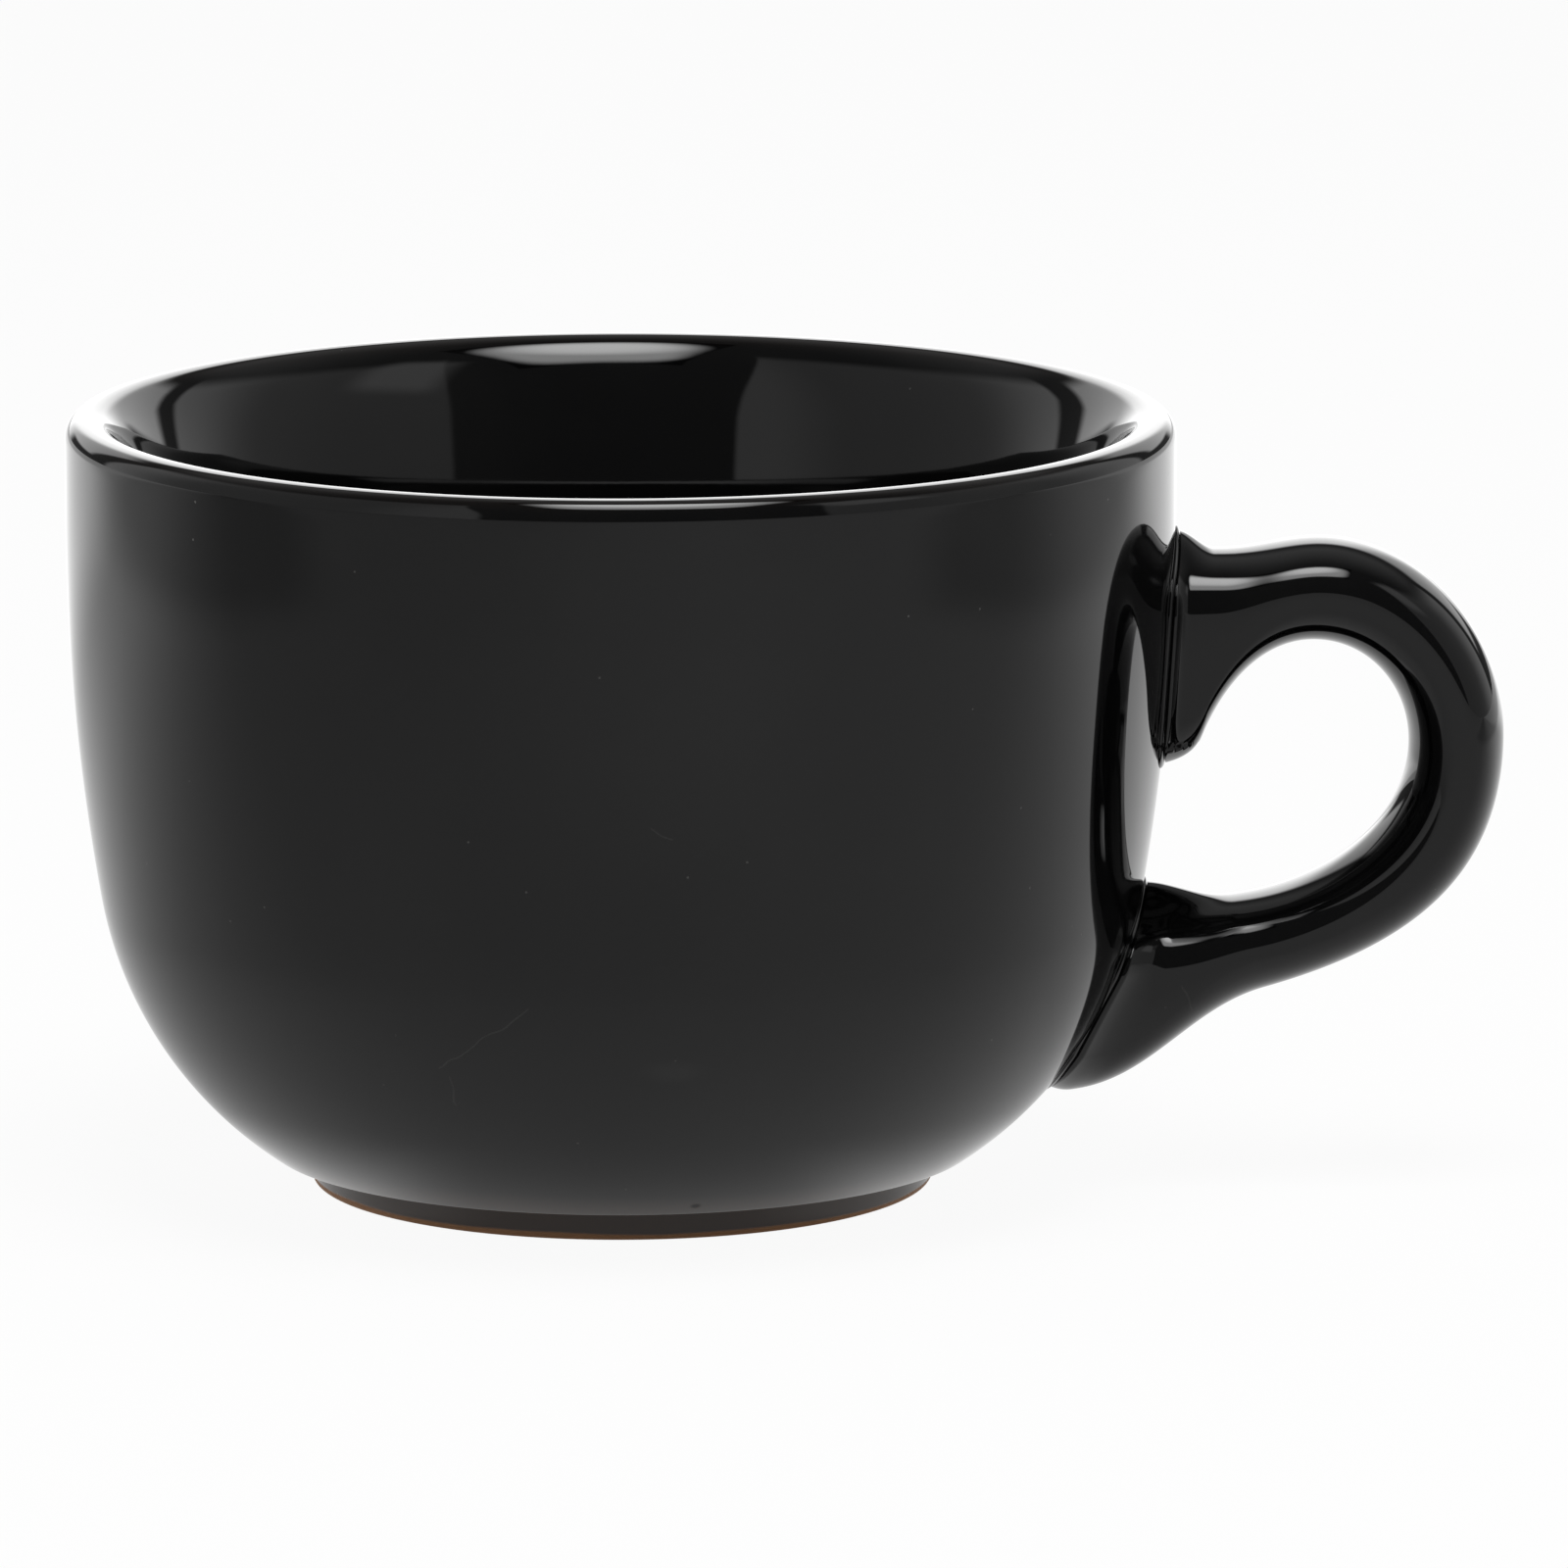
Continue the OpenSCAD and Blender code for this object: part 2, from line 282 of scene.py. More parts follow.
# %% Outline of the lip and the cavity
FLOOR_H = 7.0
FLOOR_BEND = 28.0
LIP_BENDS = [(2.25, 50, 14), (1.35, 79.4, 10), (4.0, 100.6, 10), (2.4, 131, 12)]
FLARE_BENDS = [(9.1, 146, 12), (19.0, 165, 20), (60.0, INWARD, 30)]
WALL_POINTS, FLOOR_BEND_POINTS, FLOOR_POINTS = 12, 40, 8

lip = chain([RIM_R, HEIGHT - LIP_H], OUT, LIP_BENDS + FLARE_BENDS)
lip[:, 1] += HEIGHT - lip[:, 1].max()
wall_foot = [lip[-1, 0], FLOOR_H + FLOOR_BEND]
floor_bend = bend(wall_foot, -FLOOR_BEND, INWARD, UP, FLOOR_BEND_POINTS)
cavity = join(
    lip,
    straight(lip[-1], wall_foot, WALL_POINTS),
    floor_bend,
    straight(floor_bend[-1], [POLE_R, FLOOR_H], FLOOR_POINTS),
)
print("inner wall", round(lip[-1, 0], 1), "mm from the axis, from", round(lip[-1, 1], 1), "mm up")

# %% [markdown]
# ### Turning the cup
# The outline is now closed from the recess under the foot, up the outside, over the lip and down to the
# floor, so turning it makes a solid cup with a wall of its own thickness. A Screw modifier would do the
# same. Turned with numpy, the rings go through the same helper as the handle's sections, and a pole
# closes each end.

# %% Turn the outline into the cup
TURNS = 320
BELLY_POINTS, BARREL_POINTS, BAND_POINTS = 50, 30, 10
outside = join(
    foot_outline,
    bend(belly_edge[-1], BELLY_R, edge_look, -WALL_LEAN, BELLY_POINTS),
    bend(barrel_centre + barrel_r * facing(-WALL_LEAN), barrel_r, -WALL_LEAN, OUT, BARREL_POINTS),
    straight([RIM_R, band_z], lip[0], BAND_POINTS),
)


def revolve(path, turns):
    """Rings of an outline turned about the upright axis: (r cos t, r sin t, z) for even turns t."""
    t = np.linspace(0, 2 * np.pi, turns, endpoint=False)
    r, z = path[:, 0, None], path[:, 1, None]
    return np.stack([r * np.cos(t), r * np.sin(t), z + 0 * t], axis=-1)


cup_rings = revolve(join(outside, cavity), TURNS)
cup = piece("cup", *skin(cup_rings, start=[0, 0, RECESS], end=[0, 0, FLOOR_H]))

# %% [markdown]
# ## The handle
# The ear of a mug is cast in its own mould, and its thickness changes all the way along, so one path with
# one section can't draw it. It is drawn by two rails in the mug's middle plane, one along the bar's
# outside and one along the hole. Each rail passes through a few stations, given as distance from the
# axis, height and heading in degrees, on cubic curves. Moving a station moves that part of the ear and
# leaves the rest alone. The hole's rail starts at a blunt spur under the upper root, and the outer rail
# ends in a tail under the lower one.

# %% Stations of the handle, in millimetres
ROOT_SINK = 3.0
CREST_Z, CREST_OUT, CREST_T, CREST_SHIFT = 65.65, 14.6, 10.25, 0.7
ARCH_Z, ARCH_OUT, SHOULDER_OUT = 64.5, 4.6, 2.45
SPUR_Z, SPUR_T, SPUR_RISE = 42.3, 2.6, 1.1
NOSE_T, NOSE_RISE = 1.4, 3.0
GRIP_Z, GRIP_OUT, GRIP_T, GRIP_SHIFT = 45.5, 33.4, 9.6, 0.9
ARM_Z, ARM_OUT, ARM_T, ARM_SHIFT, ARM_DROP = 19.6, 9.2, 9.6, 3.0, 0.35
ROOT_T, ROOT_DROP, SINK_DROP = 2.6, 1.5, 2.2
TAIL_Z, TAIL_T, TAIL_RISE = 9.0, 3.0, 2.8
arm_top_z = ARM_Z + ARM_T
spur_wall, arm_wall, tail_wall = wall_r(SPUR_Z), wall_r(arm_top_z), wall_r(TAIL_Z)

outer_stations = np.array([
    [RIM_R - ROOT_SINK, ARCH_Z, 0],
    [RIM_R + SHOULDER_OUT, ARCH_Z, 0],
    [RIM_R + ARCH_OUT, ARCH_Z, 0],
    [RIM_R + CREST_OUT, CREST_Z, 0],
    [RIM_R + GRIP_OUT, GRIP_Z, -90],
    [RIM_R + ARM_OUT, ARM_Z, -164],
    [tail_wall + TAIL_T, TAIL_Z, -174],
    [tail_wall - ROOT_SINK, TAIL_Z + TAIL_RISE, -200],
])
inner_stations = np.array([
    [spur_wall - ROOT_SINK, SPUR_Z, 5],
    [spur_wall + SPUR_T, SPUR_Z + SPUR_RISE, 35],
    [spur_wall + SPUR_T + NOSE_T, SPUR_Z + NOSE_RISE, 69],
    [RIM_R + CREST_OUT - CREST_SHIFT, CREST_Z - CREST_T, 0],
    [RIM_R + GRIP_OUT - GRIP_T, GRIP_Z - GRIP_SHIFT, -90],
    [RIM_R + ARM_OUT - ARM_SHIFT, arm_top_z - ARM_DROP, -173],
    [arm_wall + ROOT_T, arm_top_z - ROOT_DROP, -172],
    [arm_wall - ROOT_SINK, arm_top_z - SINK_DROP, -174],
])
print("rails of", len(outer_stations), "and", len(inner_stations), "stations")

# %% [markdown]
# ### The rails
# Between two stations a rail is a Bezier curve, the same kind that Blender's curve objects use: two
# handles lie along the headings, and a pull says how far they reach as a share of the distance. A pull
# of a third suits a slight bend, 0.39 makes a quarter turn close to a circle's, and a larger one makes a
# fuller bow, as below the grip.

# %% Rails of the handle
OUTER_PULL = np.array([0.36, 0.36, 0.36, 0.37, 0.42, 0.36, 0.36])
INNER_PULL = np.array([0.35, 0.35, 0.36, 0.39, 0.37, 0.36, 0.36])
RAIL_STEPS = 90


def rail(stations, pull):
    """Points of a rail. Each stretch is the cubic (1-t)^3 a + 3(1-t)^2 t b + 3(1-t) t^2 c + t^3 d, where
    a and d are its stations and b and c lie along their headings by pull times the distance between
    them."""
    t = np.linspace(0, 1, RAIL_STEPS, endpoint=False)[None, :, None]
    place, way = stations[:, :2], facing(stations[:, 2])
    a, d = place[:-1, None], place[1:, None]
    arm = (pull * np.linalg.norm(place[1:] - place[:-1], axis=1))[:, None, None]
    b, c = a + arm * way[:-1, None], d - arm * way[1:, None]
    curve = (1 - t) ** 3 * a + 3 * (1 - t) ** 2 * t * b + 3 * (1 - t) * t**2 * c + t**3 * d
    return np.concatenate([curve.reshape(-1, 2), place[-1:]])


outer_rail = rail(outer_stations, OUTER_PULL)
inner_rail = rail(inner_stations, INNER_PULL)
thinnest = np.linalg.norm(outer_rail - inner_rail, axis=1).min()
print("bar is", round(thinnest, 1), "mm thick at its thinnest")

# %% [markdown]
# ### How the roots swell
# A cast handle thickens where it meets the wall, so that it holds. Both roots flare to the sides. Over
# the upper root the clay stands up in a low shoulder, and over the lower one in a narrow ridge. Sculpting
# could push these out by hand. As formulas of the distance from the wall they fade away smoothly and can
# be set one by one.

# %% Swelling of the roots
UPPER_FLARE, UPPER_FLARE_REACH = 1.2, 1.4
LOWER_FLARE, LOWER_FLARE_REACH = 2.0, 3.8
SHOULDER_H, SHOULDER_REACH, SHOULDER_POWER = 1.95, 4.2, 10
RIDGE_H, RIDGE_REACH, RIDGE_POWER = 2.9, 9.4, 20


def flare(x, z):
    """How much the bar's sides flare out at a place of its middle plane: most at the wall, and fading to
    none with the square of the distance that is left to the flare's reach."""
    upper = z > GRIP_Z
    reach = np.where(upper, UPPER_FLARE_REACH, LOWER_FLARE_REACH)
    left = np.clip(1 - np.maximum(x - wall_r(z), 0) / reach, 0, 1)
    return np.where(upper, UPPER_FLARE, LOWER_FLARE) * left**2


def shoulder(x, z, turn):
    """How much the clay stands up over a root: most at the wall, easing to none at its reach by
    1 - 3s^2 + 2s^3, where s is the share of the reach, and fading from the bar's top towards its sides with
    a power of the cosine. The upper root's top is the bar's outside, and the lower root's top is on the
    side of the hole."""
    upper = z > GRIP_Z
    s = np.clip((x - wall_r(z)) / np.where(upper, SHOULDER_REACH, RIDGE_REACH), 0, 1)
    top = np.maximum(np.where(upper, np.cos(turn), -np.cos(turn)), 0)
    height = np.where(upper, SHOULDER_H, RIDGE_H)
    power = np.where(upper, SHOULDER_POWER, RIDGE_POWER)
    return height * (1 - (3 - 2 * s) * s**2) * top**power


print("at the arch's wall the sides flare by", round(float(flare(RIM_R, ARCH_Z)), 2), "mm")

# %% [markdown]
# ### The bar's sections
# Cut across, the bar is a flattened round: an ellipse with slightly fuller shoulders, which is a
# superellipse. Where the rails are far apart, as at the roots, an ellipse would turn into a thin blade,
# so the section is then two half superellipses with straight sides between them, like a strap of clay
# with rounded edges.

# %% Sections of the bar
SECTION_POWER = 2.1
CAP_POWER = 4
UPPER_CAP, LOWER_CAP, CAP_CHANGE = 6.0, 6.2, 8.0
GRIP_W = 16.5
SIDES = 96
around = np.radians(np.linspace(0, 360, SIDES, endpoint=False))


def fuller(wave):
    """A sine or cosine raised to the superellipse's power, with its sign kept."""
    return np.sign(wave) * np.abs(wave) ** (2 / SECTION_POWER)


def sections(outer, inner):
    """Bar points [ring, side, xyz]: a cap at each rail, which is half a superellipse, and straight sides
    between them where the rails are further apart than two caps."""
    middle = (outer + inner) / 2
    span = np.linalg.norm(outer - inner, axis=1)[:, None]
    change = [GRIP_Z - CAP_CHANGE, GRIP_Z + CAP_CHANGE]
    most = np.interp(middle[:, 1:], change, [LOWER_CAP, UPPER_CAP])
    cap = ((span / 2) ** -CAP_POWER + most**-CAP_POWER) ** (-1 / CAP_POWER)
    wave = fuller(np.cos(around))
    share = ((span / 2 - cap) * np.sign(wave) + cap * wave) / span
    flat = middle[:, None] + share[..., None] * (outer - inner)[:, None]
    x, z = flat[..., 0], flat[..., 1]
    y = (GRIP_W / 2 + flare(x, z)) * fuller(np.sin(around))
    return np.stack([x, y, z + shoulder(x, z, around)], axis=-1)


bar = sections(outer_rail, inner_rail)
print("bar of", bar.shape[0], "sections with", SIDES, "points each")

# %% [markdown]
# ### Where the bar leaves the wall
# Both ends of the bar run on into the wall, and a potter cuts them to the wall's curve before sticking
# them on. A Boolean modifier could cut them, but it leaves ragged triangles at the seam, just where the
# light shows them. Instead, each line along the bar is followed out of the wall until it stands a given
# height clear of it. Those crossings make the curved edge of the root.

# %% Crossings of the bar and the wall
side = np.arange(SIDES)
bar_height = np.hypot(bar[..., 0], bar[..., 1]) - wall_r(bar[..., 2])


def crossing(clear):
    """Where each line along the bar first stands clear of the wall, counted in sections from the upper
    end, by a straight line between the sections before and after."""
    first = np.argmax(bar_height > clear, axis=0)
    before, after = bar_height[first - 1, side] - clear, bar_height[first, side] - clear
    return first - 1 + before / (before - after)


def lower_crossing(clear):
    """The same crossing from the lower end."""
    last = len(bar) - 1 - np.argmax(bar_height[::-1] > clear, axis=0)
    before, after = bar_height[last, side] - clear, bar_height[last + 1, side] - clear
    return last + before / (before - after)


SLIP_T = 0.5
upper_end, lower_end = crossing(SLIP_T), lower_crossing(SLIP_T)
print("the bar is clear of the wall for", round((lower_end - upper_end).mean()), "of its sections")

# %% [markdown]
# ### The cut handle
# The bar is drawn again between the crossings at its two ends, with the same number of rings on every
# line, so the rings lean gently from the cut of one root to the cut of the other. The cut faces follow
# the wall's double curve at the thickness of the slip, and rings that shrink towards the middle close
# them.

# %% Cut the bar to the wall
HANDLE_RINGS = 300
SEAT_SHARES = [0.3, 0.6, 0.85]


def along(places):
    """Points of the bar at places[ring, side] counted in sections, by straight lines between sections."""
    low = np.clip(np.floor(places).astype(int), 0, len(bar) - 2)
    part = (places - low)[..., None]
    return bar[low, side] * (1 - part) + bar[low + 1, side] * part


def seat(edge, clear, shares):
    """Rings from a root's edge in to its middle, kept at one height clear of the wall's curve, and the
    middle."""
    middle = (edge.max(axis=0) + edge.min(axis=0)) / 2
    y = middle[1] + (edge[:, 1] - middle[1]) * np.asarray(shares)[:, None]
    z = middle[2] + (edge[:, 2] - middle[2]) * np.asarray(shares)[:, None]
    x = np.sqrt((wall_r(z) + clear) ** 2 - y**2)
    tip = [wall_r(middle[2]) + clear, 0, middle[2]]
    return np.stack([x, y, z], axis=-1), tip


rings = along(upper_end + (lower_end - upper_end) * np.linspace(0, 1, HANDLE_RINGS)[:, None])
upper_seat, upper_tip = seat(rings[0], SLIP_T, SEAT_SHARES)
lower_seat, lower_tip = seat(rings[-1], SLIP_T, SEAT_SHARES[::-1])
ear_rings = np.concatenate([upper_seat, rings, lower_seat])
handle = piece("handle_ear", *skin(ear_rings, upper_tip, lower_tip))

# %% [markdown]
# ## The slip joints
# A handle is stuck on with slip. The slip is a thin layer under the whole root, and what squeezes out
# stays around the root as a small bead, with a fine groove where the bead meets the bar. A bevel on the
# handle would look much the same from afar, but the joint is a piece of its own, so it gets its own
# closed skin. Two directions are needed first: along the wall away from the root, and straight out from
# the wall.

# %% Directions around a root
SLOPE_STEP = 0.01


def across(edge):
    """Directions along the wall, away from a root, at the points of its edge: the edge's own direction
    turned a right angle about the wall's normal, with the sign that leads away from the edge's middle."""
    run = np.roll(edge, -1, axis=0) - np.roll(edge, 1, axis=0)
    rise = wall_r(edge[:, 2] + SLOPE_STEP) - wall_r(edge[:, 2] - SLOPE_STEP)
    slope = rise / (2 * SLOPE_STEP)
    reach = np.hypot(edge[:, 0], edge[:, 1])
    normal = np.stack([edge[:, 0] / reach, edge[:, 1] / reach, -slope], axis=-1)
    away = np.cross(run, normal)
    away /= np.linalg.norm(away, axis=1)[:, None]
    outwards = np.einsum("ij,ij->i", away, edge - edge.mean(axis=0))
    return away * np.sign(outwards)[:, None]


def raised(points, clear):
    """The same points, moved along their radius until they stand clear of the wall."""
    scale = (wall_r(points[..., 2]) + clear) / np.hypot(points[..., 0], points[..., 1])
    return np.stack([points[..., 0] * scale, points[..., 1] * scale, points[..., 2]], axis=-1)


print("the upper root's edge is", round(float(np.ptp(rings[0][:, 2])), 1), "mm high")

# %% [markdown]
# A joint's skin starts in the middle of its bed on the wall and runs out to the foot of the bead. It goes
# over the bead, in through the groove to the rim of the layer, and ends in the middle of the seat under
# the bar. The two joints are the same shape around two different roots, so one function makes both.

# %% Shape of a slip joint
BEAD_W, BEAD_H, GROOVE = 0.6, 0.4, 0.25
BEAD_STEPS = 10


def slip_joint(name, edge):
    """One joint under a root's edge. The bead's rings follow a quarter of an ellipse, from the wall
    outside the edge up to a groove inside it."""
    foot = raised(edge, 0.0)
    away = across(foot)
    turn = np.linspace(0, np.pi / 2, BEAD_STEPS)[:, None]
    offset = -GROOVE + (BEAD_W + GROOVE) * np.cos(turn)
    bead = raised(foot + away * offset[..., None], BEAD_H * np.sin(turn))
    rim = raised(foot - away * GROOVE, SLIP_T)
    bed, bed_tip = seat(bead[0], 0.0, SEAT_SHARES)
    top, top_tip = seat(rim, SLIP_T, SEAT_SHARES[::-1])
    return piece(name, *skin(np.concatenate([bed, bead, rim[None], top]), bed_tip, top_tip))


upper_joint = slip_joint("upper_slip", rings[0])
lower_joint = slip_joint("lower_slip", rings[-1])

# %% [markdown]
# ## Finishes as expressions
# A finish is a small sum over the surface: where is the glaze thin, where is a speck. Blender writes such
# sums as Math nodes, which are wired by hand in the shader editor. The class below lets Python's own
# operators add those nodes, so that a finish reads as a formula.

# %% A socket that can be added and multiplied
class Term:
    """One output of a node in a tree, which takes part in Python expressions."""

    def __init__(self, tree, socket):
        self.tree = tree
        self.socket = socket

    def maths(self, operation, *others):
        """A Math node with this term first."""
        return self.tree.node("ShaderNodeMath", {"operation": operation}, dict(enumerate([self, *others])))

    def __add__(self, other):
        return self.maths("ADD", other)

    def __sub__(self, other):
        return self.maths("SUBTRACT", other)

    def __rsub__(self, other):
        return self * -1.0 + other

    def __mul__(self, other):
        return self.maths("MULTIPLY", other)

    __radd__ = __add__
    __rmul__ = __mul__

    def step(self, low, high):
        """0 below low and 1 above high, with a smooth ramp between, and the other way round if low is
        above high."""
        ends = {"From Min": low, "From Max": high, "To Min": 0.0, "To Max": 1.0}
        if low > high:
            ends = {"From Min": high, "From Max": low, "To Min": 1.0, "To Max": 0.0}
        smooth = {"interpolation_type": "SMOOTHSTEP"}
        return self.tree.node("ShaderNodeMapRange", smooth, {"Value": self, **ends})


print("a term knows", sorted(name for name in vars(Term) if not name.endswith("__")))

# %% [markdown]
# Any other node comes from one method, which takes the node's kind, its settings, and the values or links
# of its sockets. Colours are mixed by Mix nodes and places are moved by Vector Math nodes, because a Math
# node would turn them into one grey number.

# %% A tree of nodes
class Tree:
    """A node tree of a material or the world, emptied and ready for new nodes."""

    def __init__(self, owner):
        owner.use_nodes = True
        self.tree = owner.node_tree
        self.tree.nodes.clear()

    def node(self, kind, settings=None, sockets=None, out=0):
        """A node of one kind, with its settings first and then the values or links of its sockets."""
        made = self.tree.nodes.new(kind)
        for name, value in (settings or {}).items():
            setattr(made, name, value)
        for name, value in (sockets or {}).items():
            if isinstance(value, Term):
                self.tree.links.new(value.socket, made.inputs[name])
            else:
                made.inputs[name].default_value = value
        return Term(self, made.outputs[out]) if len(made.outputs) else None

    def blend(self, share, first, second):
        """A colour that goes from first to second. A Mix node has its colours at inputs 6 and 7 and at
        output 2."""
        return self.node("ShaderNodeMix", {"data_type": "RGBA"}, {0: share, 6: first, 7: second}, out=2)

    def vector(self, operation, *sockets, out="Vector"):
        """A Vector Math node."""
        values = dict(enumerate(sockets))
        return self.node("ShaderNodeVectorMath", {"operation": operation}, values, out=out)

    def axes(self, vector, names):
        """The named axes of a vector, each as a term."""
        return [self.node("ShaderNodeSeparateXYZ", {}, {"Vector": vector}, out=name) for name in names]

    def report(self, name):
        """Says how many nodes the tree has."""
        print(name, "is made of", len(self.tree.nodes), "nodes")


print("a tree knows", sorted(name for name in vars(Tree) if not name.endswith("__")))

# %% [markdown]
# ## The black glaze
# The glaze is clear glass over black, so the surface is almost black, and all that shows is what it
# mirrors. Fired glaze is never quite flat: it lies in long soft waves, with a finer skin like an
# orange's. That could be modelled in the mesh, but the waves are thinner than a hair, so a Bump node
# tilts the mirror instead. Places in a finish are Object coordinates, in metres.

# %% Waves and clouds of the glaze
WAVES = {"Scale": 90.0, "Detail": 1.0}
PEEL = {"Scale": 900.0, "Detail": 1.0}
CLOUDS = {"Scale": 28.0, "Detail": 4.0}
WAVE_H, PEEL_H, BUMP_M = 6.0, 0.5, 1e-6

black_glaze = bpy.data.materials.new("black_glaze")
coat = Tree(black_glaze)
place = coat.node("ShaderNodeTexCoord", out="Object")


def noise(grain, out=0):
    """Noise over the surface, of a scale and a detail, as a value or as a colour."""
    return coat.node("ShaderNodeTexNoise", {}, {"Vector": place, **grain}, out=out)


waves, peel, cloud = noise(WAVES), noise(PEEL), noise(CLOUDS)
ripple = waves * WAVE_H + peel * PEEL_H
bump = coat.node("ShaderNodeBump", {}, {"Height": ripple, "Distance": BUMP_M, "Strength": 1.0})
coat.report("waves and clouds")

# %% [markdown]
# ### Where the glaze runs thin, and a painted highlight at the foot
# Molten glaze creeps away from sharp edges. At the lip a trace of the brown body shows through, and at
# the foot much more. At the foot the brown band is also a painted highlight: it makes the belly's lower
# edge lighter. Under the foot ring the glaze was sponged off, and bare clay is left. These are bands of
# height, and a little of the cloud noise is added to the height so that their edges wander as on a real
# pot.

# %% Thin glaze, a painted highlight at the foot, and bare clay
NOISE_MIDDLE, EDGE_WANDER = 0.5, 0.0012
LIP_BAND, LIP_BROWN = (0.0773, 0.0784), 0.04
# The foot's band is the brown of thin glaze and also a painted highlight along the belly's lower edge.
FOOT_BAND, FOOT_BROWN_AND_HIGHLIGHT = (0.0064, 0.0036), 0.8
BARE_BAND = (0.0008, 0.0005)

place_y, place_z = coat.axes(place, "YZ")
edge_height = place_z + (cloud - NOISE_MIDDLE) * EDGE_WANDER
thin_glaze_and_foot_highlight = edge_height.step(*LIP_BAND) * LIP_BROWN + edge_height.step(*FOOT_BAND) * FOOT_BROWN_AND_HIGHLIGHT
bare = edge_height.step(*BARE_BAND)
coat.report("glaze with its thin edges")

# %% [markdown]
# ### Marks in the glaze
# A close look at a glossy mug shows small faults: a pit where a bubble burst, a few pale specks, dust as
# fine as flour, and a smudge of a finger. They could be painted on an image. Here each is a ball around a
# point of the wall, given by its turn about the axis in degrees, its height and its size in millimetres.
# Voronoi cells scatter the dust. The pit's hole itself is not in the mesh: its shade is painted as a dark
# spot.

# %% Pit, specks, dust and smudge
PIT, PIT_CORE = (-78.9, 4.7, 0.75), 0.3
SPECKS = [(-138.2, 75.6, 0.16), (-138.6, 71.8, 0.14), (-60.0, 66.0, 0.12), (-30.0, 30.0, 0.12)]
SPECK_CORE = 0.6
GRAIN_SCALE, GRAIN, GRAIN_SHARE = 230.0, (0.036, 0.018), 0.4
SMUDGE_TURN, SMUDGE_Z, SMUDGE_STRETCH = -84.5, 21.0, (1, 1, 2.6)
SMUDGE, SMUDGE_CLOUD = (0.004, 0.001), (0.4, 0.6)


def on_wall(turn, z):
    """The point of the outer wall at a turn about the axis and a height in millimetres, in metres."""
    return tuple(np.append(wall_r(z) * facing(turn), z) * MM)


def spot(mark, core):
    """A round mark: 1 within the core, which is a share of its size, and 0 from its size on."""
    turn, z, size = mark
    apart = coat.vector("DISTANCE", place, on_wall(turn, z), out="Value")
    return apart.step(size * MM, size * MM * core)


# Painted shade: the pit's hole is not in the mesh, so this spot paints its shade black.
pit_shade = spot(PIT, PIT_CORE)
specks = sum(spot(mark, SPECK_CORE) for mark in SPECKS)
cells = coat.node("ShaderNodeTexVoronoi", {}, {"Vector": place, "Scale": GRAIN_SCALE})
grains = cells.step(*GRAIN) * GRAIN_SHARE
from_smudge = coat.vector("SUBTRACT", place, on_wall(SMUDGE_TURN, SMUDGE_Z))
flattened = coat.vector("MULTIPLY", from_smudge, SMUDGE_STRETCH)
smudge = coat.vector("LENGTH", flattened, out="Value").step(*SMUDGE) * cloud.step(*SMUDGE_CLOUD)
coat.report("glaze with its marks")

# %% [markdown]
# ### Hairlines
# Washing and stacking leave a few hair-thin scratches. Each is a straight line on the front of the mug,
# given by its two ends as seen from the front, in millimetres. A place is on the line if it is close to
# the nearest point between the ends, and noise shakes the place a little first, so that the line is not
# ruled.

# %% Hairlines on the front
HAIRLINES = [
    (56.7, 20.9, 57.4, 18.4),
    (-9.0, 27.5, -18.0, 21.0),
    (3.0, 46.0, 5.0, 45.2),
    (-17.0, 20.0, -16.2, 17.0),
]
SHAKE, SHAKE_M = {"Scale": 300.0, "Detail": 1.0}, 0.0012
HAIR = (0.00012, 0.00004)
FRONT = (0.0, -0.002)
FROM_FRONT = (1, 0, 1)

about_zero = coat.vector("SUBTRACT", noise(SHAKE, out="Color"), (NOISE_MIDDLE,) * 3)
shaken = coat.vector("ADD", place, coat.vector("MULTIPLY", about_zero, (SHAKE_M,) * 3))


def hairline(x_top, z_top, x_foot, z_foot):
    """1 on the line from its top to its foot: the place less the top, dotted with the line's way over its
    squared length, is the share along the line, which is held between 0 and 1."""
    top = np.array([x_top, 0, z_top]) * MM
    way = np.array([x_foot, 0, z_foot]) * MM - top
    from_top = coat.vector("MULTIPLY", coat.vector("SUBTRACT", shaken, tuple(top)), FROM_FRONT)
    share = coat.vector("DOT_PRODUCT", from_top, tuple(way / (way @ way)), out="Value")
    nearest = coat.vector("MULTIPLY", tuple(way), share.maths("MAXIMUM", 0.0).maths("MINIMUM", 1.0))
    return coat.vector("DISTANCE", from_top, nearest, out="Value").step(*HAIR)


hairlines = sum(hairline(*ends) for ends in HAIRLINES) * place_y.step(*FRONT)
coat.report("glaze with its hairlines")

# %% [markdown]
# ### The finished glaze
# The layers go on in the order in which they lie: black glass, brown where it is thin, which at the foot
# is also a painted highlight, a film of dust, bare clay, and last the pit's painted shade. Dust and clay
# are dull and the glass is a mirror, so the same masks raise the roughness. The pit is a hole that
# swallows light, and its shade is painted: there the surface is a black metal, which mirrors next to
# nothing. All four pieces share this one material, as they share one dip in the glaze bucket.

# %% Put the glaze together and coat the pieces
BLACK, BROWN = (0.003, 0.003, 0.0032, 1), (0.1, 0.06, 0.04, 1)
CLAY, DUST = (0.62, 0.33, 0.17, 1), (0.2, 0.2, 0.19, 1)
FILM_CLOUD, FILM_SHARE, SMUDGE_SHARE = (0.42, 0.7), 0.02, 0.06
SPECK_SHARE, HAIR_SHARE = 0.8, 0.1
FILM_DULL, HAIR_DULL = 2.0, 0.3
GLOSS, DULLNESS, GLASS_IOR = 0.03, 0.6, 1.5

